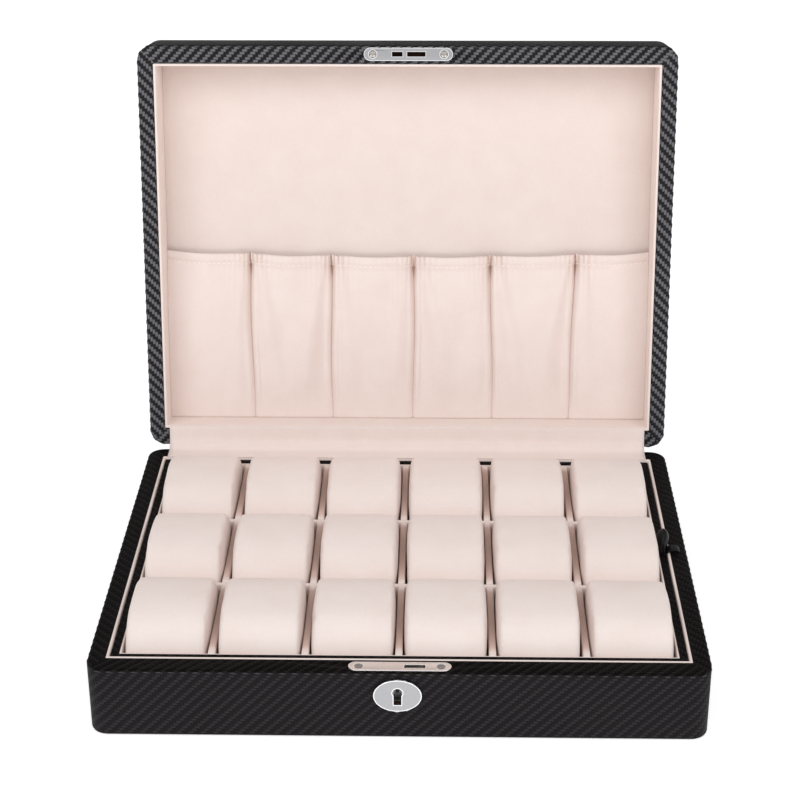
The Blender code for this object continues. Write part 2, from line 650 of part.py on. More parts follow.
def make_hinge_lining():
    """The cloth over both rear rims, as one piece on the base and one on the lid."""
    half = STRIP_HALF_LENGTH
    near = WELL_Y + CLEARANCE
    far = near + STRIP_WIDTH
    low = BASE_HEIGHT - STRIP_RECESS + CLEARANCE
    plate("hinge_lining_base", (-half, near, low), (half, far, low + STRIP_THICKNESS), VELVET)
    high = LID_RIM + STRIP_RECESS - CLEARANCE
    plate("hinge_lining_lid", (-half, near, high - STRIP_THICKNESS), (half, far, high), VELVET, LID)


make_base()
make_lid()
make_pockets()
make_tray()
make_dividers()
make_pillows()
make_pull_tab()
make_lock()
make_hook()
make_hinges()
make_hinge_lining()
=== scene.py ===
import json
import math

import bmesh
import bpy
from mathutils import Matrix, Vector, noise


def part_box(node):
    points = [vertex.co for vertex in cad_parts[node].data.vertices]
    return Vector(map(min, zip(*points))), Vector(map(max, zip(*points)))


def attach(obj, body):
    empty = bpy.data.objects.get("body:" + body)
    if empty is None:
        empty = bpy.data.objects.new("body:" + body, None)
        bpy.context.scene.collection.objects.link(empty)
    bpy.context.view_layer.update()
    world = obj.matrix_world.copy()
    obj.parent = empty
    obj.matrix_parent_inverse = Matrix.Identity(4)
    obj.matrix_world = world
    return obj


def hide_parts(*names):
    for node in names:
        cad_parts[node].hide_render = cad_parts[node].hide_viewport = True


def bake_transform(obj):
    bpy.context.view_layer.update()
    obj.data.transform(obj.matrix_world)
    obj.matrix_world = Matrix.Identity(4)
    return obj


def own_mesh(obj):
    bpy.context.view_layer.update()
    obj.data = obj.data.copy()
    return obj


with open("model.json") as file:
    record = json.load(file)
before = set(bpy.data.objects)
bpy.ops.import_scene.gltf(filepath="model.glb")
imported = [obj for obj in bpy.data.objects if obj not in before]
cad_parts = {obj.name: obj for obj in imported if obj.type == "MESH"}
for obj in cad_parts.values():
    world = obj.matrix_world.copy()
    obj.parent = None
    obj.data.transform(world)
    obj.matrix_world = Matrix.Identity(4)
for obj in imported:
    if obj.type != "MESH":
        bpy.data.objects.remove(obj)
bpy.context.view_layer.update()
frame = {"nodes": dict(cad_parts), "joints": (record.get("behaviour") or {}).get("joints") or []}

mm = 0.001
nodes = frame["nodes"]
hinge = next(j for j in frame["joints"] if j["name"] == "lid_hinge")
hingeAxis = Vector(hinge["pos_m"])
openAngle = math.radians(hinge["range_deg"][0])  # from closed to the stop, about X
lidTurn = (Matrix.Translation(hingeAxis) @ Matrix.Rotation(openAngle, 4, "X")
           @ Matrix.Translation(-hingeAxis))
lidBack = lidTurn.inverted()

# The case's own sizes, read off the frame
halfWidth, halfDepth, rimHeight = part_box("base_shell")[1]


# Small helpers

def linearColour(code):
    parts = [int(code[i:i + 2], 16) / 255 for i in (1, 3, 5)]
    return [p / 12.92 if p <= 0.04045 else ((p + 0.055) / 1.055) ** 2.4 for p in parts] + [1.0]


def setInputs(tree, node, values):
    # a value is a number, a colour, another node's output, or a node, which stands for its first output
    for key, value in values.items():
        if isinstance(value, bpy.types.Node):
            value = value.outputs[0]
        if isinstance(value, bpy.types.NodeSocket):
            tree.links.new(value, node.inputs[key])
        else:
            node.inputs[key].default_value = value


def addNode(tree, kind, settings=None, inputs=None):
    node = tree.nodes.new("ShaderNode" + kind)
    for key, value in (settings or {}).items():
        setattr(node, key, value)
    setInputs(tree, node, inputs or {})
    return node


def newMaterial(name):
    material = bpy.data.materials.new(name)
    material.use_nodes = True
    return material, material.node_tree, material.node_tree.nodes["Principled BSDF"]


def makePiece(name, bm, material, smoothAngle=35):
    mesh = bpy.data.meshes.new(name)
    bm.to_mesh(mesh)
    bm.free()
    for polygon in mesh.polygons:
        polygon.use_smooth = True
    mesh.set_sharp_from_angle(angle=math.radians(smoothAngle))
    piece = bpy.data.objects.new(name, mesh)
    bpy.context.scene.collection.objects.link(piece)
    for m in material if isinstance(material, list) else [material]:
        mesh.materials.append(m)
    return piece


def applyModifiers(piece):
    graph = bpy.context.evaluated_depsgraph_get()
    result = bpy.data.meshes.new_from_object(piece.evaluated_get(graph))
    piece.modifiers.clear()
    old = piece.data
    piece.data = result
    bpy.data.meshes.remove(old)


def copyNode(node):
    bm = bmesh.new()
    bm.from_mesh(nodes[node].data)
    bmesh.ops.remove_doubles(bm, verts=bm.verts, dist=0.004 * mm)
    bmesh.ops.dissolve_limit(bm, angle_limit=math.radians(0.4), verts=bm.verts, edges=bm.edges)
    return bm


def roundEdges(bm, width, segments):
    sharp = [e for e in bm.edges if len(e.link_faces) == 2 and e.calc_face_angle(0) > math.radians(30)]
    bmesh.ops.bevel(bm, geom=sharp, offset=width, segments=segments, profile=0.5, affect="EDGES",
                    material=-1, clamp_overlap=True)


def cut(bm, place, facing):
    bmesh.ops.bisect_plane(bm, geom=bm.verts[:] + bm.edges[:] + bm.faces[:], dist=0.001 * mm,
                           plane_co=place, plane_no=facing)


def fresh(result, kind):
    # the new vertices or edges that a bmesh operator gives back
    return [g for g in result["geom"] if isinstance(g, kind)]


def sweepStrip(points, columns, step):
    # a strip of cloth or leather: an outline swept sideways in equal steps
    bm = bmesh.new()
    steps = [bm.verts.new(p) for p in points]
    for a, b in zip(steps, steps[1:]):
        bm.edges.new((a, b))
    edges = bm.edges[:]
    for i in range(columns):
        result = bmesh.ops.extrude_edge_only(bm, edges=edges)
        bmesh.ops.translate(bm, vec=step, verts=fresh(result, bmesh.types.BMVert))
        edges = fresh(result, bmesh.types.BMEdge)
    return bm


def thicken(piece, thickness):
    # half the thickness goes to each side of the sheet
    thick = piece.modifiers.new("thickness", "SOLIDIFY")
    thick.thickness = thickness
    thick.offset = 0.0


def subdivide(piece):
    finer = piece.modifiers.new("finer", "SUBSURF")
    finer.levels = 1
    finer.render_levels = 1


def extent(bm):
    corners = [[pick(v.co[a] for v in bm.verts) for a in range(3)] for pick in (min, max)]
    return Vector(corners[0]), Vector(corners[1])


def wobble(point, size, seed):
    # smooth noise from -1 to 1 with features of the given size
    return noise.noise(Vector((point.x / size + seed, point.y / size - seed,
                               point.z / size + 0.37 * seed)))


def smoothStep(a, b, x):
    t = min(max((x - a) / (b - a), 0.0), 1.0)
    return t * t * (3 - 2 * t)


# Materials

def makeTwillLeather(name, look):
    # PU leather embossed with a 2/2 twill: each thread floats over two others, so the floats step up in
    # diagonal ribs that catch the light like carbon cloth
    material, tree, shader = newMaterial(name)
    uv = addNode(tree, "UVMap", {"uv_map": "wrap"})
    cells = addNode(tree, "VectorMath", {"operation": "SCALE"}, {0: uv, "Scale": 1 / look["thread"]})
    whole = addNode(tree, "VectorMath", {"operation": "FLOOR"}, {0: cells})
    part = addNode(tree, "VectorMath", {"operation": "FRACTION"}, {0: cells})
    cell = addNode(tree, "SeparateXYZ", None, {0: whole})
    inside = addNode(tree, "SeparateXYZ", None, {0: part})
    step = addNode(tree, "Math", {"operation": "SUBTRACT"}, {0: cell, 1: cell.outputs[1]})
    phase = addNode(tree, "Math", {"operation": "FLOORED_MODULO"}, {0: step, 1: 4.0})
    upright = addNode(tree, "Math", {"operation": "LESS_THAN"}, {0: phase, 1: 1.5})
    alongUp = addNode(tree, "Math", {"operation": "SUBTRACT"}, {0: inside.outputs[1], 1: phase})
    alongSide = addNode(tree, "Math", {"operation": "ADD"}, {0: inside, 1: phase})
    heights = []
    for along, shift, across in ((alongUp, math.pi / 2, inside),
                                 (alongSide, -math.pi, inside.outputs[1])):
        turn = addNode(tree, "Math", {"operation": "MULTIPLY_ADD"}, {0: along, 1: math.pi / 2, 2: shift})
        rise = addNode(tree, "Math", {"operation": "SINE"}, {0: turn})
        half = addNode(tree, "Math", {"operation": "MULTIPLY"}, {0: across, 1: math.pi})
        crown = addNode(tree, "Math", {"operation": "SINE"}, {0: half})
        both = addNode(tree, "Math", {"operation": "MULTIPLY"}, {0: rise, 1: crown})
        flat = addNode(tree, "Math", {"operation": "POWER"}, {0: both, 1: 0.6})
        heights.append(flat)
    relief = addNode(tree, "Mix", {"data_type": "FLOAT"}, {0: upright, 2: heights[1], 3: heights[0]})
    coords = addNode(tree, "TexCoord").outputs["Object"]
    grain = addNode(tree, "TexNoise", None,
                    {"Vector": coords, "Scale": 1 / (0.8 * mm), "Detail": 3.0, "Roughness": 0.6})
    patches = addNode(tree, "TexNoise", None,
                      {"Vector": coords, "Scale": 1 / (45 * mm), "Detail": 2.0})
    # painted light: the sideways floats take the light colour and the upright ones the dark colour, for how
    # each way of float catches the lamps
    threads = addNode(tree, "Mix", {"data_type": "RGBA"},
                      {0: upright, 6: linearColour(look["light"]), 7: linearColour(look["dark"])})
    # painted shade: the low ground between the floats takes the valley colour
    low = addNode(tree, "MapRange", None, {0: relief, 1: 0.0, 2: look["gap"], 3: 0.0, 4: 1.0})
    valley = addNode(tree, "Mix", {"data_type": "RGBA"},
                     {0: low, 6: linearColour(look["valley"]), 7: threads.outputs[2]})
    # painted highlight: the crests of the sideways floats take the bead colour
    crest = addNode(tree, "MapRange", {"interpolation_type": "SMOOTHSTEP"},
                    {0: relief, 1: look["crest"] - 0.3, 2: look["crest"] + 0.3, 3: 0.0, 4: 1.0})
    bead = addNode(tree, "Math", {"operation": "MULTIPLY_ADD"}, {0: upright, 1: -1.0, 2: 1.0})
    beads = addNode(tree, "Math", {"operation": "MULTIPLY"}, {0: crest, 1: bead})
    withPaintedHighlight = addNode(tree, "Mix", {"data_type": "RGBA"},
                   {0: beads, 6: valley.outputs[2], 7: linearColour(look["bead"])})
    shine = addNode(tree, "MapRange", None,
                    {0: patches, 1: 0.3, 2: 0.7, 3: look["roughness"] - 0.05, 4: look["roughness"] + 0.06})
    fine = addNode(tree, "Bump", None, {"Strength": 0.25, "Distance": 0.05 * mm, "Height": grain})
    bump = addNode(tree, "Bump", None,
                   {"Strength": look["bump"], "Distance": look["depth"], "Height": relief, "Normal": fine})
    setInputs(tree, shader, {"Base Color": withPaintedHighlight.outputs[2], "Roughness": shine,
                             "Normal": bump, "IOR": 1.38, "Specular IOR Level": look["specular"]})
    return material


def makeVelvet(name, look):
    # Microfibre velvet: short dense pile, matt face on, paler where it is seen from the side, and faintly
    # clouded where the pile lies in different directions
    material, tree, shader = newMaterial(name)
    coords = addNode(tree, "TexCoord").outputs["Object"]
    clouds = addNode(tree, "TexNoise", None,
                     {"Vector": coords, "Scale": 1 / look["cloud"], "Detail": 3.0, "Roughness": 0.55})
    pile = addNode(tree, "TexNoise", None,
                   {"Vector": coords, "Scale": 1 / look["pile"], "Detail": 2.0, "Roughness": 0.7})
    spread = addNode(tree, "MapRange", None, {0: clouds, 1: 0.2, 2: 0.8, 3: 0.0, 4: 1.0})
    tone = addNode(tree, "Mix", {"data_type": "RGBA"},
                   {0: spread, 6: linearColour(look["dark"]), 7: linearColour(look["light"])})
    speckle = addNode(tree, "MapRange", None, {0: pile, 1: 0.25, 2: 0.75, 3: 0.97, 4: 1.02})
    shade = addNode(tree, "VectorMath", {"operation": "SCALE"}, {0: tone.outputs[2], "Scale": speckle})
    # painted shade: a value stored on the mesh darkens the velvet towards the shade colour, in the creases
    # of the pocket cloth and on the dividers between the pillows
    shaded = addNode(tree, "Attribute", {"attribute_name": "painted_shade"})
    withPaintedShade = addNode(tree, "Mix", {"data_type": "RGBA"},
                     {0: shaded.outputs["Fac"], 6: shade, 7: linearColour(look["painted_shade"])})
    bump = addNode(tree, "Bump", None, {"Strength": look["bump"], "Distance": 0.12 * mm, "Height": pile})
    setInputs(tree, shader, {"Base Color": withPaintedShade.outputs[2], "Normal": bump, "Roughness": 0.92,
                             "IOR": 1.45, "Specular IOR Level": 0.2, "Sheen Weight": look["sheen"],
                             "Sheen Roughness": 0.45, "Sheen Tint": linearColour(look["sheenTint"])})
    return material


def makeMetal(name, look):
    # Plated zinc or steel; the finish is a fine satin, so the noise only breaks up the reflections
    material, tree, shader = newMaterial(name)
    coords = addNode(tree, "TexCoord").outputs["Object"]
    grid = addNode(tree, "Mapping", None, {"Vector": coords, "Scale": look["stretch"]})
    lines = addNode(tree, "TexNoise", None, {"Vector": grid, "Scale": 1 / (0.35 * mm), "Detail": 2.0})
    rough = addNode(tree, "MapRange", None,
                    {0: lines, 1: 0.3, 2: 0.7, 3: look["roughness"] - 0.03, 4: look["roughness"] + 0.03})
    bump = addNode(tree, "Bump", None, {"Strength": 0.02, "Distance": 0.01 * mm, "Height": lines})
    setInputs(tree, shader, {"Base Color": linearColour(look["colour"]), "Metallic": 1.0,
                             "Roughness": rough, "Normal": bump})
    return material


def makeMatt(name, look):
    # Felt, raw fibreboard, sewing thread and smooth leather: one colour broken up by a noise of the real
    # grain size
    material, tree, shader = newMaterial(name)
    coords = addNode(tree, "TexCoord").outputs["Object"]
    grain = addNode(tree, "TexNoise", None,
                    {"Vector": coords, "Scale": 1 / look["grain"], "Detail": 3.0, "Roughness": 0.65})
    tone = addNode(tree, "Mix", {"data_type": "RGBA"},
                   {0: grain, 6: linearColour(look["dark"]), 7: linearColour(look["light"])})
    bump = addNode(tree, "Bump", None, {"Strength": 0.5, "Distance": look["depth"], "Height": grain})
    setInputs(tree, shader, {"Base Color": tone.outputs[2], "Normal": bump, "IOR": 1.5,
                             "Roughness": look["roughness"], "Specular IOR Level": look["specular"]})
    return material


caseLeather = makeTwillLeather("twill_embossed_pu_leather", {
    "thread": 1.67 * mm, "light": "#292729", "dark": "#1D1B1C", "valley": "#1B1A1B", "bead": "#2F2D2F",
    "crest": 0.7, "gap": 0.55, "roughness": 0.5, "specular": 0.06, "bump": 1.0, "depth": 0.3 * mm})
# A copy for the lid's rim: its brighter thread, valley and bead colours are a painted highlight, for the
# light that the rim reflects from the lamps
paintedLitRimLeather = makeTwillLeather("twill_embossed_pu_leather_painted_lit_lid_rim", {
    "thread": 1.67 * mm, "light": "#545257", "dark": "#19191A", "valley": "#2C2B2D", "bead": "#67666A",
    "crest": 0.45, "gap": 0.4, "roughness": 0.4, "specular": 0.2, "bump": 1.0, "depth": 0.3 * mm})
# The base's rim, the tray's frame and the lid's front wall take a blacker copy of the same leather: painted
# shade, for how dark these faces look under the lights
paintedShadeRimLeather = makeTwillLeather("twill_embossed_pu_leather_painted_shade_rims", {
    "thread": 1.67 * mm, "light": "#161213", "dark": "#0B0909", "valley": "#060505", "bead": "#211C1C",
    "crest": 0.65, "gap": 0.55, "roughness": 0.5, "specular": 0.06, "bump": 0.8, "depth": 0.3 * mm})
# painted shade: the last colour here is the shade that the velvet is darkened towards
velvet = {"pile": 0.9 * mm, "bump": 0.3, "sheen": 0.15, "painted_shade": "#B28772"}
liningVelvet = makeVelvet("lining_microfibre_velvet", {
    **velvet, "light": "#EDDFD9", "dark": "#E9D9D2", "cloud": 16 * mm, "sheenTint": "#FFF4EC"})
panelVelvet = makeVelvet("panel_microfibre_velvet", {
    **velvet, "light": "#E7D9D2", "dark": "#E3D3CC", "cloud": 16 * mm, "sheenTint": "#FFF4EC"})
pillowVelvet = makeVelvet("pillow_microfibre_velvet", {
    **velvet, "light": "#F0E3DE", "dark": "#ECDDD7", "cloud": 20 * mm, "sheenTint": "#FFF6F0"})
plain = (1.0, 1.0, 1.0)
brushed = (0.15, 1.0, 1.0)  # draws the grain out sideways
nickel = makeMetal("satin_nickel_plate", {"colour": "#EBE5E2", "roughness": 0.3, "stretch": brushed})
chrome = makeMetal("satin_chrome_plate", {"colour": "#ACACAF", "roughness": 0.27, "stretch": brushed})
# painted highlight: a brighter chrome for the plates' bevels and rims
chromeEdgeHighlight = makeMetal("chrome_edge_painted_highlight", {
    "colour": "#F2F2F4", "roughness": 0.14, "stretch": plain})
screwSteel = makeMetal("nickel_plated_screw_steel", {
    "colour": "#A9A39E", "roughness": 0.32, "stretch": plain})
hingeSteel = makeMetal("bright_zinc_hinge_steel", {
    "colour": "#B4B4B2", "roughness": 0.36, "stretch": (0.3, 1.0, 1.0)})
blackenedSteel = makeMetal("blackened_key_post_steel", {
    "colour": "#2E2B29", "roughness": 0.5, "stretch": plain})
fibreboard = makeMatt("raw_fibreboard", {
    "light": "#4A2A1C", "dark": "#2A140D", "grain": 0.9 * mm, "depth": 0.1 * mm, "roughness": 0.9,
    "specular": 0.3})
felt = makeMatt("black_needle_felt", {
    "light": "#2B2B2D", "dark": "#141415", "grain": 1.2 * mm, "depth": 0.3 * mm, "roughness": 0.97,
    "specular": 0.2})
thread = {"grain": 0.4 * mm, "depth": 0.08 * mm, "roughness": 0.6, "specular": 0.4}
caseThread = makeMatt("grey_polyester_thread", {**thread, "light": "#434244", "dark": "#2A292B"})
hemThread = makeMatt("cream_polyester_thread", {**thread, "light": "#FFFAF4", "dark": "#EEDFD5"})
tabLeather = makeMatt("smooth_black_pu_leather", {
    "light": "#131214", "dark": "#080708", "grain": 1.1 * mm, "depth": 0.12 * mm, "roughness": 0.4,
    "specular": 0.15})
print("materials made")


# Camera, light and floor

view = {"lens": 85.82, "place": (0.02074, -0.99337, 0.62052), "down": 25.686, "left": 1.267,
        "roll": -0.217}
lights = {
    "left_softbox": {"place": (-1.1, -1.5, 1.75), "size": 1.5, "power": 18.5},
    "right_softbox": {"place": (1.1, -1.5, 1.75), "size": 1.5, "power": 17.5},
    "front_fill": {"place": (0.0, -2.4, 0.8), "size": 1.2, "power": 2.6},
}
studio = {"aim": (0, 0, 0.12), "world": 0.5, "floorRadius": 9.0, "floorDrop": 0.3 * mm, "floorGlow": 0.5}


def makeStage():
    scene = bpy.context.scene
    scene.view_settings.view_transform = "Standard"
    camera = bpy.data.objects.new("camera", bpy.data.cameras.new("camera"))
    camera.data.lens = view["lens"]
    camera.data.sensor_width = 36.0
    camera.data.clip_start = 0.01
    camera.matrix_world = (Matrix.Translation(view["place"])
                           @ Matrix.Rotation(math.radians(view["left"]), 4, "Z")
                           @ Matrix.Rotation(math.radians(90 - view["down"]), 4, "X")
                           @ Matrix.Rotation(math.radians(view["roll"]), 4, "Z"))
    scene.collection.objects.link(camera)
    scene.camera = camera

    for name, one in lights.items():
        lamp = bpy.data.lights.new(name, "AREA")
        lamp.shape = "SQUARE"
        lamp.size = one["size"]
        lamp.energy = one["power"]
        box = bpy.data.objects.new(name, lamp)
        box.location = one["place"]
        towards = Vector(studio["aim"]) - Vector(one["place"])
        box.rotation_euler = towards.to_track_quat("-Z", "Y").to_euler()
        scene.collection.objects.link(box)

    world = bpy.data.worlds.new("studio")
    world.use_nodes = True
    background = world.node_tree.nodes["Background"]
    setInputs(world.node_tree, background, {0: linearColour("#FFFFFF"), 1: studio["world"]})
    scene.world = world

    bm = bmesh.new()
    bmesh.ops.create_circle(bm, cap_ends=True, segments=96, radius=studio["floorRadius"])
    bmesh.ops.translate(bm, vec=(0, 0, -studio["floorDrop"]), verts=bm.verts)
    # white paper, lit a little from below so that it stays white under the soft lights
    paper, tree, shader = newMaterial("white_paper_floor")
    setInputs(tree, shader, {"Base Color": linearColour("#FAFAFA"), "Roughness": 0.9,
                             "Emission Strength": studio["floorGlow"],
                             "Emission Color": linearColour("#FFFFFF")})
    floor = makePiece("floor", bm, paper)


makeStage()
print("camera, light and floor placed")


# Leather shells, with the twill running round the case and mitred on the rims

def girth(point, width, depth, radius):
    # distance round a rounded box from the middle of its front
    x = abs(point.x)
    straightX = width - radius
    straightY = depth - radius
    turn = radius * math.pi / 2
    if x <= straightX:
        return x if point.y < 0 else 2 * (straightX + turn + straightY) - x
    if point.y < -straightY:
        return straightX + radius * math.atan2(x - straightX, -straightY - point.y)
    if point.y <= straightY:
        return straightX + turn + point.y + straightY
    return straightX + turn + 2 * straightY + radius * math.atan2(point.y - straightY, x - straightX)


def wrapLeather(bm, width, depth, radius, rimSign):
    # rimSign is 1 where the rim faces up and -1 where it faces down
    for sx in (-1, 1):
        for sy in (-1, 1):
            cut(bm, Vector((sx * width, sy * depth, 0)), Vector((sy, -sx, 0)).normalized())
    cut(bm, (0, 0, 0), (1, 0, 0))
    layer = bm.loops.layers.uv.new("wrap")
    bm.normal_update()
    straightX = width - radius
    straightY = depth - radius
    turn = radius * math.pi / 2
    for face in bm.faces:
        centre = face.calc_center_median()
        side = 1 if centre.x >= 0 else -1
        isRim = abs(face.normal.z) > 0.7
        acrossFront = depth - abs(centre.y) < width - abs(centre.x)
        isOuterFlat = face.normal.z * rimSign < -0.7
        for loop in face.loops:
            p = loop.vert.co
            inward = max(min(depth - abs(p.y), width - abs(p.x)), 0)
            if isOuterFlat:
                loop[layer].uv = (p.x, p.y)
                continue
            if not isRim:
                along = girth(p, width, depth, radius)
            elif acrossFront:
                x = abs(p.x)
                along = x if centre.y < 0 else 2 * (straightX + turn + straightY) - x
            else:
                along = straightX + turn + p.y + straightY
            up = p.z + rimSign * inward if isRim else p.z
            loop[layer].uv = (side * along, up)


def insideBy(point, width, depth, radius):
    # how far a point lies inside a rounded box, seen from above
    x = abs(point.x) - (width - radius)
    y = abs(point.y) - (depth - radius)
    if x > 0 and y > 0:
        return radius - math.hypot(x, y)
    return radius - max(x, y)


# painted light on the rims: the base's rim takes the painted-shade copy of the leather and the lid's rim
# the painted-highlight copy
def markRim(bm, rimZ, rimSign):
    for face in bm.faces:
        away = abs(face.calc_center_median().z - rimZ)
        if face.normal.z * rimSign > 0.3 and away < case["rimDepth"]:
            face.material_index = 2


def markBoard(bm, lowZ, highZ):
    # faces cut into the thickness of the walls show the raw board
    for face in bm.faces:
        c = face.calc_center_median()
        outer = insideBy(c, halfWidth, halfDepth, case["cornerRadius"])
        inner = max(abs(c.x) - (halfWidth - case["sideWall"]), abs(c.y) - (halfDepth - case["frontWall"]))
        if min(outer, inner) > case["skin"] and lowZ < c.z < highZ:
            face.material_index = 1


case = {"cornerRadius": 10 * mm, "sideWall": 9.6 * mm, "frontWall": 11.1 * mm, "skin": 0.7 * mm,
        "rimDepth": 3.5 * mm, "lip": 0.4 * mm, "floor": 6 * mm, "front": 5 * mm, "trayEdge": 0.5 * mm}


def makeShells():
    bm = copyNode("base_shell")
    wrapLeather(bm, halfWidth, halfDepth, case["cornerRadius"], 1)
    markBoard(bm, case["floor"], rimHeight - case["lip"])
    markRim(bm, rimHeight, 1)
    base = makePiece("base_leather_shell", bm, [caseLeather, fibreboard, paintedShadeRimLeather], 30)
    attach(base, "base")
    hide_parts("base_shell")

    bm = copyNode("lid_shell")
    bm.transform(lidBack)
    low, high = extent(bm)
    wrapLeather(bm, halfWidth, halfDepth, case["cornerRadius"], -1)
    markBoard(bm, low.z + case["lip"], high.z - case["floor"])
    markRim(bm, low.z, -1)
    # painted shade: the lid's front wall takes the same darker copy as the base's rim
    for face in bm.faces:  # the lid's front wall is nearly black too
        if face.normal.y < -0.5 and face.calc_center_median().y < case["front"] - halfDepth:
            face.material_index = 3
    bm.transform(lidTurn)
    lid = makePiece("lid_leather_shell", bm, [caseLeather, fibreboard, paintedLitRimLeather, paintedShadeRimLeather], 30)
    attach(lid, "lid")
    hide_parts("lid_shell")

    bm = copyNode("tray_frame")
    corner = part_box("tray_frame")[1]
    roundEdges(bm, case["trayEdge"], 3)
    wrapLeather(bm, corner.x, corner.y, case["trayEdge"], 1)
    tray = makePiece("tray_leather_frame", bm, paintedShadeRimLeather, 50)
    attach(tray, "tray")
    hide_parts("tray_frame")
    return low.z


lidRim = makeShells()  # the height of the lid's rim when it is shut
print("leather shells wrapped")


# Velvet linings and dividers

def softCopy(node, name, body, material, width, segments=3, smoothAngle=60, finish=None):
    bm = copyNode(node)
    roundEdges(bm, width, segments)
    if finish:
        finish(bm)
    piece = makePiece(name, bm, material, smoothAngle)
    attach(piece, body)
    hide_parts(node)
    return piece


linings = [
    ("base_lining", "base", 0.85), ("base_floor_lining", "base", 0.2), ("lid_lining", "lid", 0.7),
    ("tray_wall_lining", "tray", 0.2), ("tray_floor", "tray", 0.3),
    ("row_divider_1", "tray", 0.9), ("row_divider_2", "tray", 0.9),
] + [(f"column_divider_{i}", "tray", 0.9) for i in range(1, 6)]  # node, body, edge in millimetres
divider = {"clear": 2.5 * mm, "shaded": 9.0 * mm, "depth": 0.45, "cuts": 8}


def shadeDivider(bm):
    # painted shade between the pillows: the dividers are darkened along the cells and left pale near the
    # cross boards and walls, where the pillows' ends dip and let the light in
    low, high = (corner.y for corner in extent(bm))
    stops = [low, high]
    for node in ("row_divider_1", "row_divider_2"):
        rowLow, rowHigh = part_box(node)
        stops.append((rowLow.y + rowHigh.y) / 2)
    for stop in stops:
        for i in range(-divider["cuts"], divider["cuts"] + 1):
            y = stop + i * divider["shaded"] * 1.2 / divider["cuts"]
            if low < y < high:
                cut(bm, (0, y, 0), (0, 1, 0))
    layer = bm.verts.layers.float.new("painted_shade")
    for v in bm.verts:
        away = min(abs(v.co.y - stop) for stop in stops)
        v[layer] = divider["depth"] * smoothStep(divider["clear"], divider["shaded"], away)


for node, body, width in linings:
    finish = shadeDivider if node.startswith("column") else None
    softCopy(node, node + "_velvet", body, liningVelvet, width * mm, finish=finish)
print("linings and dividers covered")


# Lid panel: a board padded thinly under the velvet

panel = {"columns": 64, "rows": 48, "swell": 0.25 * mm, "swellSize": 38 * mm, "tuck": 0.35 * mm,
         "edge": 0.3 * mm, "border": 12 * mm}


def makePanel():
    source = copyNode("lid_panel")
    source.transform(lidBack)
    low, high = extent(source)
    source.free()
    tuck = Vector((panel["tuck"], panel["tuck"], 0))
    low -= tuck
    high += tuck
    bm = bmesh.new()
    bmesh.ops.create_cube(bm, size=1.0)
    for v in bm.verts:
        v.co = [high[a] if v.co[a] > 0 else low[a] for a in range(3)]
    roundEdges(bm, panel["edge"], 2)
    for i in range(1, panel["columns"]):
        cut(bm, Vector((low.x + (high.x - low.x) * i / panel["columns"], 0, 0)), Vector((1, 0, 0)))
    for i in range(1, panel["rows"]):
        cut(bm, Vector((0, low.y + (high.y - low.y) * i / panel["rows"], 0)), Vector((0, 1, 0)))
    for v in bm.verts:
        if v.co.z < low.z + 0.01 * mm:
            edge = min(v.co.x - low.x, high.x - v.co.x, v.co.y - low.y, high.y - v.co.y)
            swell = panel["swell"] * wobble(v.co, panel["swellSize"], 3.1)
            v.co.z += swell * smoothStep(0, panel["border"], edge)
    bm.transform(lidTurn)
    board = makePiece("lid_panel_velvet", bm, panelVelvet, 60)
    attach(board, "lid")
    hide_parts("lid_panel")


makePanel()


# Lid pockets: one gathered cloth, sewn down between the pockets, with elastic in its hem

pocket = {
    "seamsLow": (-102.0, -49.6, 3.9, 56.8, 108.1),  # millimetres from the middle, along the foot
    "seamsHigh": (-103.5, -50.2, 4.4, 55.0, 110.7),  # and along the hem
    "seamStray": 2.2, "halfWidth": 158.45 * mm, "footDepth": 21.3 * mm, "panelDepth": 29.0 * mm,
    "hemHeight": 110.4 * mm, "hemRise": 3.2 * mm, "hemSag": 1.5 * mm, "hemBand": 6.5 * mm,
    "cloth": 0.8 * mm, "columns": 72, "rows": 92, "crowding": 0.7,
}
# How far the cloth moves at each feature, how wide the feature is, and how far it reaches
pleat = {
    "lean": 3.6 * mm, "belly": 1.3 * mm, "wallSide": 0.1,
    "seamFoot": 1.6 * mm, "seamTop": 1.2 * mm, "seamWidth": 0.9 * mm,
    "valley": 0.8 * mm, "valleyWidth": 6 * mm,
    "notch": 2.6 * mm, "notchWidth": 1.6 * mm, "notchDrop": 9 * mm, "notchAbove": 2.5 * mm,
    "notchBelow": 7 * mm,
    "ridge": 1.3 * mm, "ridgePlace": 2.6 * mm, "ridgeWidth": 1.7 * mm, "ridgeFarSide": 0.55,
    "gather": 1.2 * mm, "gatherPitch": 3.4 * mm, "gatherFall": 10 * mm, "gatherReach": 7 * mm,
    "fold": 2.3 * mm, "foldPlace": 4.5, "foldDrift": 12, "foldSpread": 6, "foldWidth": 2.6,
    "foldWidens": 8,
    "groove": 0.55 * mm, "grooveWidth": 0.9 * mm, "band": 0.6 * mm,
    "drape": 1.6 * mm, "drapeSize": 21 * mm, "drapeReach": 7 * mm,
}
# How much painted shade, 0 to 1, falls at each of those features
shadow = {
    "lineFoot": 0.10, "lineTop": 0.16, "lineWidth": 0.6 * mm,
    "nearSide": 0.02, "farSide": 0.09, "sideReach": 3.2 * mm,
    "wedge": 0.5, "wedgeDrop": 7.4 * mm, "wedgeLength": 9 * mm, "wedgeTip": 0.35, "wedgeWidth": 1.1,
    "gather": 0.5, "gatherReach": 8 * mm, "gatherFall": 12 * mm,
    "hem": 0.1, "hemDrop": 1.4 * mm, "hemWidth": 0.9 * mm, "turned": 0.3, "step": 0.02,
}
hingeSideY = halfDepth - case["frontWall"] - 1.9 * mm  # the inner face of the lining behind the pockets


def bell(x, width):
    return math.exp(-(x / width) ** 2)


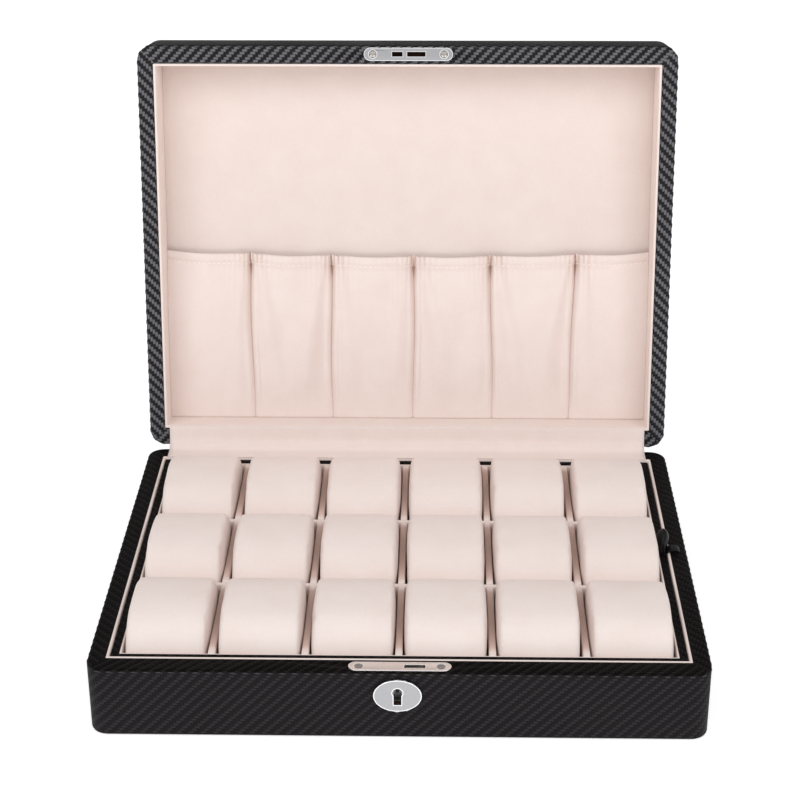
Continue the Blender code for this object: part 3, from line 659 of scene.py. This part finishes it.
def seamAt(index, t):
    # seams 1 to 5 divide the pockets, 0 and 6 are at the lid's side walls
    wall = pocket["halfWidth"] / mm
    low = (-wall,) + pocket["seamsLow"] + (wall,)
    high = (-wall,) + pocket["seamsHigh"] + (wall,)
    stray = 0.0
    if 0 < index < 6:
        stray = pocket["seamStray"] * math.sin(5.1 * t + 1.7 * index) * t * (1.15 - t)
    return (low[index] + (high[index] - low[index]) * t + stray) * mm


def pocketPlace(index, across, t):
    # pocket number, place across it and height up it, both 0 to 1
    left = seamAt(index, t)
    right = seamAt(index + 1, t)
    x = left + (right - left) * across
    near = min(x - left, right - x)
    leftHalf = across < 0.5
    atWall = (index == 0 and leftHalf) or (index == 5 and not leftHalf)
    rise = pocket["hemRise"] * (abs(x) / pocket["halfWidth"]) ** 1.6
    sag = pocket["hemSag"] * math.sin(math.pi * min(max(across, 0), 1)) ** 0.8
    wave = math.sin(2 * math.pi * x / pleat["gatherPitch"] + 1.9 * math.sin(x / (8 * mm)) + index)
    return left, right, x, near, leftHalf, atWall, pocket["hemHeight"] + rise - sag, wave


def pocketPoint(index, across, t):
    # gives the closed lid's coordinates; depth is measured from the lid's rim
    left, right, x, near, leftHalf, atWall, top, wave = pocketPlace(index, across, t)
    height = top * t
    belowHem = top - height
    # the cloth hangs off the panel, drawn back to it along the seams and by the elastic at the top
    depth = pocket["footDepth"] + pleat["lean"] * smoothStep(0.5, 1.0, t) ** 1.5
    depth -= pleat["belly"] * math.sin(math.pi * across) * math.sin(math.pi * min(t * 0.9, 1.0))
    if not atWall:
        depth += (pleat["seamFoot"] + pleat["seamTop"] * t) * math.exp(-near / pleat["seamWidth"])
        depth += pleat["valley"] * t * math.exp(-near / pleat["valleyWidth"])
        drop = belowHem - pleat["notchDrop"]
        reach = pleat["notchBelow"] if drop > 0 else pleat["notchAbove"]
        depth += pleat["notch"] * math.exp(-near / pleat["notchWidth"]) * bell(drop, reach)
        # the pleat laps over from one side
        side = 1.0 if leftHalf else pleat["ridgeFarSide"]
        ridge = bell(near - pleat["ridgePlace"], pleat["ridgeWidth"])
        depth -= pleat["ridge"] * side * ridge * smoothStep(0.0, 0.25, t)
    # gathers: short pleats beside each seam that fade downwards
    fade = math.exp(-belowHem / pleat["gatherFall"]) * (pleat["wallSide"] if atWall else 1.0)
    depth += pleat["gather"] * wave * (math.exp(-near / pleat["gatherReach"]) + 0.03) * fade
    # long soft folds that fall from the seams into each pocket
    for sign, start, wall in ((1, left, index == 0), (-1, right, index == 5)):
        if not wall:
            drift = pleat["foldDrift"] + pleat["foldSpread"] * math.sin(index * 2.1 + sign)
            away = x - start - sign * (pleat["foldPlace"] + drift * (1 - t) ** 0.8) * mm
            width = (pleat["foldWidth"] + pleat["foldWidens"] * (1 - t)) * mm
            depth -= pleat["fold"] * bell(away, width) * smoothStep(0.0, 0.35, t) * (1 - 0.35 * t)
    depth += pleat["groove"] * bell(belowHem - pocket["hemBand"], pleat["grooveWidth"])
    depth -= pleat["band"] * math.sin(math.pi * min(belowHem / pocket["hemBand"], 1.0)) ** 0.8
    drape = wobble(Vector((x, 0.45 * height, 0)), pleat["drapeSize"], 5.3 + index) * smoothStep(0, 0.3, t)
    depth += pleat["drape"] * drape * smoothStep(0, pleat["drapeReach"], near)
    depth = min(depth, pocket["panelDepth"] - 0.7 * mm)
    return Vector((x, hingeSideY - height, lidRim + depth))


# painted shade on the pocket cloth, 0 to 1: along the seams, in their open mouths, in the gathers, under
# the hem and on the sides of folds turned away from the light
def pocketShadeAt(index, across, t):
    near, leftHalf, atWall, top, wave = pocketPlace(index, across, t)[3:]
    if atWall:
        return 0.0
    belowHem = top * (1 - t)
    dark = (shadow["lineFoot"] + shadow["lineTop"] * t) * bell(near, shadow["lineWidth"])
    side = shadow["nearSide"] if leftHalf else shadow["farSide"]
    dark += side * math.exp(-near / shadow["sideReach"]) * (0.4 + 0.6 * t)
    down = (belowHem - shadow["wedgeDrop"]) / shadow["wedgeLength"]
    if 0 < down < 1:  # the open mouth of each seam, under the hem
        half = (shadow["wedgeWidth"] * (1 - down) + shadow["wedgeTip"]) * mm
        dark += shadow["wedge"] * math.exp(-(near / half) ** 4) * (1 - down) ** 0.5
    fade = math.exp(-near / shadow["gatherReach"]) * math.exp(-belowHem / shadow["gatherFall"])
    dark += shadow["gather"] * max(wave, 0) * fade
    dark += shadow["hem"] * bell(belowHem - pocket["hemBand"] - shadow["hemDrop"], shadow["hemWidth"])
    step = shadow["step"]
    if step < across < 1 - step:  # the side of a fold that is turned away from the light
        lean = pocketPoint(index, across + step, t) - pocketPoint(index, across - step, t)
        dark += shadow["turned"] * max(lean.z / lean.x - 0.03, 0) * smoothStep(0, 5 * mm, near)
    return min(dark, 1.0)


def addStitch(bm, centre, along, out, look):
    # one stitch: a long bead lying on the cloth or leather
    across = out.cross(along)
    basis = Matrix((along * look["length"] / 2, across * look["width"] / 2, out * look["height"] / 2))
    matrix = Matrix.Translation(centre) @ basis.transposed().to_4x4()
    bmesh.ops.create_uvsphere(bm, u_segments=6, v_segments=4, radius=1.0, matrix=matrix)


def makePockets():
    bm = bmesh.new()
    bmesh.ops.create_grid(bm, x_segments=6 * pocket["columns"], y_segments=pocket["rows"], size=1.0)
    # each vertex carries its painted shade for the velvet
    layer = bm.verts.layers.float.new("painted_shade")
    for v in bm.verts:
        along = (v.co.x + 1) * 3
        index = min(int(along + 1e-6), 5)
        u = along - index
        # closer columns beside the seams
        across = u - pocket["crowding"] / (2 * math.pi) * math.sin(2 * math.pi * u)
        t = (v.co.y + 1) / 2
        v[layer] = pocketShadeAt(index, across, t)
        v.co = pocketPoint(index, across, t)
    bm.transform(lidTurn)
    cloth = makePiece("pocket_cloth", bm, liningVelvet, 80)
    thicken(cloth, pocket["cloth"])
    applyModifiers(cloth)
    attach(cloth, "lid")
    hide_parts("pocket_sheet", "pocket_elastic")

    bm = bmesh.new()
    stitch = {"pitch": 3.3 * mm, "length": 2.3 * mm, "width": 0.7 * mm, "height": 0.6 * mm,
              "lift": 0.1 * mm}
    t = 1 - pocket["hemBand"] / pocket["hemHeight"]
    for index in range(6):
        wide = seamAt(index + 1, t) - seamAt(index, t)
        count = round(wide / stitch["pitch"])
        half = stitch["length"] / wide / 2
        for i in range(count):
            a = pocketPoint(index, (i + 0.5) / count - half, t)
            b = pocketPoint(index, (i + 0.5) / count + half, t)
            along = (b - a).normalized()
            out = along.cross(Vector((0, 0, -1)).cross(along).normalized())
            lift = out * (pocket["cloth"] / 2 + stitch["lift"])
            addStitch(bm, (a + b) / 2 + lift, along, out, {**stitch, "length": (b - a).length})
    bmesh.ops.recalc_face_normals(bm, faces=bm.faces)
    bm.transform(lidTurn)
    stitches = makePiece("pocket_hem_stitching", bm, hemThread, 80)
    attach(stitches, "lid")


makePockets()
print("lid panel and pockets sewn")


# Pillows

pillow = {"width": 45.0 * mm, "length": 72.0 * mm, "height": 48.8 * mm, "power": 2.3, "points": 64,
          "inset": 0.8 * mm, "edge": 2.2 * mm, "voxel": 2.6 * mm, "kinds": 3, "uneven": 0.35 * mm,
          "loose": 0.28 * mm, "room": (-0.85 * mm, 0.15 * mm, 0.15 * mm)}
stuffing = {"quality": 5, "mass": 0.3, "stiffness": 15, "bending": 2, "pressure": 4.0, "frames": 20,
            "cap": 1.0 * mm}


def pillowStart(seed):
    bm = bmesh.new()
    bmesh.ops.create_circle(bm, cap_ends=True, segments=pillow["points"], radius=1.0)
    halfWide, halfLength, halfHeight = (pillow[side] / 2 - pillow["inset"]
                                        for side in ("width", "length", "height"))
    for v in bm.verts:
        angle = math.atan2(v.co.y, v.co.x)
        c = math.cos(angle)
        s = math.sin(angle)
        y = halfLength * math.copysign(abs(c) ** (2 / pillow["power"]), c)
        z = halfHeight * math.copysign(abs(s) ** (2 / pillow["power"]), s)
        v.co = Vector((-halfWide, y, z))
    result = bmesh.ops.extrude_face_region(bm, geom=bm.faces[:])
    bmesh.ops.translate(bm, vec=(2 * halfWide, 0, 0), verts=fresh(result, bmesh.types.BMVert))
    bmesh.ops.recalc_face_normals(bm, faces=bm.faces)
    rims = [e for e in bm.edges if abs(e.verts[0].co.x - e.verts[1].co.x) < 1e-7]
    bmesh.ops.bevel(bm, geom=rims, offset=pillow["edge"], segments=4, profile=0.5, affect="EDGES",
                    material=-1)
    for v in bm.verts:
        v.co += pillow["uneven"] * Vector((wobble(v.co, 20 * mm, seed), wobble(v.co, 26 * mm, seed + 4),
                                           wobble(v.co, 22 * mm, seed + 8)))
    return bm


def inflate(piece):
    remesh = piece.modifiers.new("voxels", "REMESH")
    remesh.mode = "VOXEL"
    remesh.voxel_size = pillow["voxel"]
    remesh.use_smooth_shade = True
    applyModifiers(piece)
    before = [v.co.copy() for v in piece.data.vertices]
    cloth = piece.modifiers.new("cloth", "CLOTH")
    settings = cloth.settings
    settings.quality = stuffing["quality"]
    settings.mass = stuffing["mass"]
    settings.tension_stiffness = stuffing["stiffness"]
    settings.compression_stiffness = stuffing["stiffness"]
    settings.bending_stiffness = stuffing["bending"]
    settings.use_pressure = True
    settings.uniform_pressure_force = stuffing["pressure"]
    settings.effector_weights.gravity = 0.0
    cloth.point_cache.frame_start = 1
    cloth.point_cache.frame_end = stuffing["frames"]
    scene = bpy.context.scene
    for number in range(1, stuffing["frames"] + 1):
        scene.frame_set(number)
        bpy.context.view_layer.update()
    applyModifiers(piece)
    scene.frame_set(1)
    for v, start in zip(piece.data.vertices, before):
        move = v.co - start
        if move.length > stuffing["cap"]:
            v.co = start + move * (stuffing["cap"] / move.length)
    subdivide(piece)
    applyModifiers(piece)


def makePillows():
    kinds = []
    for k in range(pillow["kinds"]):
        piece = makePiece(f"pillow_kind_{k}", pillowStart(11.0 * k + 2.5), pillowVelvet, 80)
        inflate(piece)
        kinds.append(piece)
        print("pillow", k + 1, "of", pillow["kinds"], "filled")
    for row in range(1, 4):
        for column in range(1, 7):
            node = f"pillow_{row}_{column}"
            low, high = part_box(node)
            kind = kinds[(2 * row + column) % pillow["kinds"]]
            flip = Vector(((-1) ** (row + column), (-1) ** column, 1))  # no two neighbours alike
            bm = bmesh.new()
            bm.from_mesh(kind.data)
            seed = 7.7 * row + 1.3 * column
            for v in bm.verts:
                p = Vector((v.co.x * flip.x, v.co.y * flip.y, v.co.z))
                v.co = p + pillow["loose"] * Vector((wobble(p, 17 * mm, seed), wobble(p, 19 * mm, seed + 3),
                                                     wobble(p, 15 * mm, seed + 6)))
            lowest, highest = extent(bm)
            for v in bm.verts:  # fits the cell it is stuffed into
                for a, room in enumerate(pillow["room"]):
                    share = (v.co[a] - lowest[a]) / (highest[a] - lowest[a])
                    v.co[a] = low[a] + room + share * (high[a] - low[a] - 2 * room)
            if flip.x * flip.y < 0:
                bmesh.ops.reverse_faces(bm, faces=bm.faces)
            piece = makePiece(f"watch_pillow_{row}_{column}", bm, pillowVelvet, 80)
            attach(piece, node)
            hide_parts(node)
    for piece in kinds:
        mesh = piece.data
        bpy.data.objects.remove(piece)
        bpy.data.meshes.remove(mesh)


makePillows()
print("pillows placed")


# Stitching on the leather

stitching = {"pitch": 6.7 * mm, "length": 3.5 * mm, "width": 0.62 * mm, "height": 0.5 * mm,
             "drop": 1.6 * mm, "tilt": 0.07, "hingeGap": 2.5 * mm, "rimRows": (1.1 * mm, 10.5 * mm),
             "rimEnd": 14 * mm}


def addStitches(bm, points):
    # each point is a place, the way the row runs there and the way out of the leather
    for place, along, out in points:
        side = out.cross(along).normalized()
        lift = out * stitching["height"] * 0.2
        addStitch(bm, place + lift, (along + side * stitching["tilt"]).normalized(), out, stitching)
    bmesh.ops.recalc_face_normals(bm, faces=bm.faces)


def roundPath(z, pitch):
    # evenly spaced points round the case, from the left end of its front
    radius = case["cornerRadius"]
    straightX = halfWidth - radius
    straightY = halfDepth - radius
    turn = radius * math.pi / 2
    total = 4 * (straightX + straightY + turn)
    count = int(total / pitch)
    lengths = (2 * straightX, turn, 2 * straightY, turn) * 2
    points = []
    for i in range(count):
        s = (i + 0.5) * total / count
        quarter = 0
        while s > lengths[quarter]:
            s -= lengths[quarter]
            quarter += 1
        facing = -math.pi / 2 + (quarter // 2) * math.pi / 2
        if quarter % 2 == 0:
            out = Vector((math.cos(facing), math.sin(facing), 0))
            along = Vector((-out.y, out.x, 0))
            half, reach = (straightX, halfDepth) if quarter % 4 == 0 else (straightY, halfWidth)
            place = out * reach + along * (s - half)
        else:
            angle = facing + s / radius
            out = Vector((math.cos(angle), math.sin(angle), 0))
            along = Vector((-out.y, out.x, 0))
            corner = Vector((math.copysign(straightX, out.x), math.copysign(straightY, out.y), 0))
            place = corner + out * radius
        points.append((Vector((place.x, place.y, z)), along, out))
    return points


def seamPath(z):
    # the row of stitches round the case; it stops short of the hinges at the back
    hinges = [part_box(f"hinge_lid_leaf_{side}") for side in ("left", "right")]
    hinges += [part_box(f"hinge_base_leaf_{side}") for side in ("left", "right")]
    gap = stitching["hingeGap"]
    points = []
    for place, along, out in roundPath(z, stitching["pitch"]):
        atHinge = any(low.x - gap < place.x < high.x + gap for low, high in hinges)
        if not (atHinge and out.y > 0.5):
            points.append((place, along, out))
    return points


def makeStitching():
    bm = bmesh.new()
    addStitches(bm, seamPath(rimHeight - stitching["drop"]))
    base = makePiece("base_stitching", bm, caseThread, 80)
    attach(base, "base")

    bm = bmesh.new()
    addStitches(bm, seamPath(lidRim + stitching["drop"]))
    reach = halfWidth - stitching["rimEnd"]
    count = int(2 * reach / stitching["pitch"])
    for inset in stitching["rimRows"]:
        points = []
        for i in range(count):
            x = -reach + (i + 0.5) * 2 * reach / count
            points.append((Vector((x, -halfDepth + inset, lidRim)), Vector((1, 0, 0)), Vector((0, 0, -1))))
        addStitches(bm, points)
    bm.transform(lidTurn)
    lid = makePiece("lid_stitching", bm, caseThread, 80)
    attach(lid, "lid")


makeStitching()
print("stitching done")


# Hinge lining: one strip of velvet that bends between base and lid

hingeLining = {
    "halfWidth": 157 * mm, "cloth": 0.3 * mm, "columns": 90, "lift": 0.38 * mm, "bend": 3.05 * mm,
    "onBase": (118.15, 119.5, 121.5, 123.5, 125.5, 127.3),  # millimetres from the middle, glued down
    "onLid": (127.3, 125.5, 123.5, 121.5, 119.8, 118.5),
    "arcStart": 163, "arcStep": 8.2, "arcPoints": 9, "loose": 0.08 * mm,
}


def makeHingeLining():
    path = [Vector((0, y * mm, rimHeight + hingeLining["lift"])) for y in hingeLining["onBase"]]
    for i in range(hingeLining["arcPoints"]):
        angle = math.radians(hingeLining["arcStart"] - i * hingeLining["arcStep"])
        path.append(hingeAxis + hingeLining["bend"] * Vector((0, math.cos(angle), math.sin(angle))))
    path += [lidTurn @ Vector((0, y * mm, lidRim - hingeLining["lift"])) for y in hingeLining["onLid"]]
    left = Vector((-hingeLining["halfWidth"], 0, 0))
    step = Vector((2 * hingeLining["halfWidth"] / hingeLining["columns"], 0, 0))
    bm = sweepStrip([p + left for p in path], hingeLining["columns"], step)
    bmesh.ops.recalc_face_normals(bm, faces=bm.faces)
    bend = [v for v in bm.verts if 121 * mm < v.co.y and v.co.z < 52 * mm]
    bmesh.ops.smooth_vert(bm, verts=bend, factor=0.4, use_axis_y=True, use_axis_z=True)
    for v in bm.verts:
        v.co.z += hingeLining["loose"] * wobble(v.co, 15 * mm, 8.0)
    strip = makePiece("hinge_lining_strip", bm, liningVelvet, 80)
    thicken(strip, hingeLining["cloth"])
    applyModifiers(strip)
    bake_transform(strip)
    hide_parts("hinge_lining_base", "hinge_lining_lid")


makeHingeLining()
print("hinge lining fitted")


# Pull tab: a folded strip of thin leather, leaning out over the rim

tab = {"width": 15.0 * mm, "thickness": 1.2 * mm, "height": 12.0 * mm, "tongue": 7.0 * mm,
       "tongueShift": -3.0 * mm, "columns": 6, "forward": 5.0 * mm, "taper": 0.35, "pinchWidth": 0.2,
       "pinchHeight": 0.62}
# Side views, in millimetres from the foot: across the tray's frame and up
tabLoop = ((-1.6, 0.2), (-3.6, 4.0), (-3.2, 8.6), (-0.8, 12.4), (1.6, 11.6), (3.2, 7.4), (2.6, 3.2),
           (1.6, 0.3))
tabTongue = ((1.4, 1.2), (3.6, 2.9), (6.2, 3.3), (8.6, 2.9), (9.8, 1.5))


def makeStrap(name, outline, foot, width, shift, crumple, closeEnd):
    # a strip of leather with the outline as its side view
    points = [foot + Vector((x * mm, shift - width / 2, z * mm)) for x, z in outline]
    bm = sweepStrip(points, tab["columns"], Vector((0, width / tab["columns"], 0)))
    for v in bm.verts:
        x, y, z = v.co - foot
        up = z / tab["height"]
        across = (y - shift) / (width / 2)
        y = shift + (y - shift) * (1 - tab["taper"] * smoothStep(0.35, 1.0, up))
        if closeEnd:  # the loop is pinched shut and bent over at its front end
            pinch = smoothStep(-1.0, 0.3, across)
            x *= tab["pinchWidth"] + (1 - tab["pinchWidth"]) * pinch
            z *= tab["pinchHeight"] + (1 - tab["pinchHeight"]) * pinch
        v.co = foot + Vector((x, y, z))
        amount = crumple * up * mm
        v.co.x += amount * (0.9 * math.sin(2.4 * across + 0.6) + 1.5 * wobble(v.co, 4.2 * mm, 2.2))
        v.co.z += amount * (0.6 * math.cos(2.6 * across) + 1.1 * wobble(v.co, 4.8 * mm, 6.1))
    bmesh.ops.recalc_face_normals(bm, faces=bm.faces)
    piece = makePiece(name, bm, tabLeather, 80)
    thicken(piece, tab["thickness"])
    subdivide(piece)
    applyModifiers(piece)
    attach(piece, "tray")
    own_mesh(piece)
    return piece


def makeTab():
    low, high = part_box("pull_tab")
    foot = Vector(((low.x + high.x) / 2, (low.y + high.y) / 2 - tab["forward"], low.z))
    loop = makeStrap("leather_pull_tab", tabLoop, foot, tab["width"], 0.0, 1.0, True)
    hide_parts("pull_tab")
    tongue = makeStrap("leather_pull_tab_tongue", tabTongue, foot, tab["tongue"], tab["tongueShift"], 0.4,
                       False)


makeTab()
print("pull tab folded")


# Metal fittings, and the underside

screwDish = {"edge": 0.7 * mm, "depth": 0.45 * mm}
plateRim = {"width": 0.4 * mm, "depth": 0.06 * mm}


def dishHead(bm):
    # a shallow dish in the outer face of a screw's head, where the driver goes
    middle = sum(v.co.z for v in bm.verts) / len(bm.verts)
    head = max(bm.faces, key=lambda f: f.calc_area() * (1 if f.calc_center_median().z > middle else 0.5))
    bmesh.ops.inset_individual(bm, faces=[head], thickness=screwDish["edge"], depth=-screwDish["depth"])


def paintEdgeHighlight(bm):
    # painted highlight: the bevels round a plate and a thin inset rim on its broad faces take a brighter,
    # smoother chrome than its satin faces
    bm.normal_update()
    flat = max(bm.faces, key=lambda f: f.calc_area()).normal.copy()
    for face in bm.faces:
        if 0.15 < abs(face.normal.dot(flat)) < 0.97:
            face.material_index = 1
    broad = [face for face in bm.faces if abs(face.normal.dot(flat)) > 0.999]
    rims = bmesh.ops.inset_region(bm, faces=broad, thickness=plateRim["width"], depth=-plateRim["depth"],
                                  use_boundary=True, use_even_offset=False)
    for face in rims["faces"]:
        face.material_index = 1


fittings = [  # node, body, edge in millimetres and metal; a * stands for a left and a right one
    ("lock_plate", "base", 0.2, nickel), ("strike_plate", "lid", 0.25, chrome),
    ("escutcheon", "base", 0.2, chrome), ("lock_plate_screw_*", "base", 0.4, screwSteel),
    ("strike_plate_screw_*", "lid", 0.4, screwSteel), ("lock_hook", "lock_hook", 0.2, hingeSteel),
    ("lock_case", "base", 0.3, hingeSteel), ("key_post", "base", 0.2, blackenedSteel),
    ("hinge_base_leaf_*", "base", 0.12, hingeSteel), ("hinge_lid_leaf_*", "lid", 0.12, hingeSteel),
    ("hinge_pin_*", "base", 0.1, hingeSteel), ("base_bottom_cover", "base", 0.3, felt),
]
for name, body, width, metal in fittings:
    look, finish, slotName = metal, None, "steel_fittings"
    if metal in (nickel, chrome):
        look, finish, slotName = [metal, chromeEdgeHighlight], paintEdgeHighlight, "chrome_fittings"
    elif metal == felt:
        slotName = "underside_felt"
    elif "plate_screw" in name:
        finish = dishHead
    for side in ("left", "right") if "*" in name else ("",):
        node = name.replace("*", side)
        softCopy(node, node + "_finished", body, look, width * mm, 2, 40, finish)
print("fittings finished")
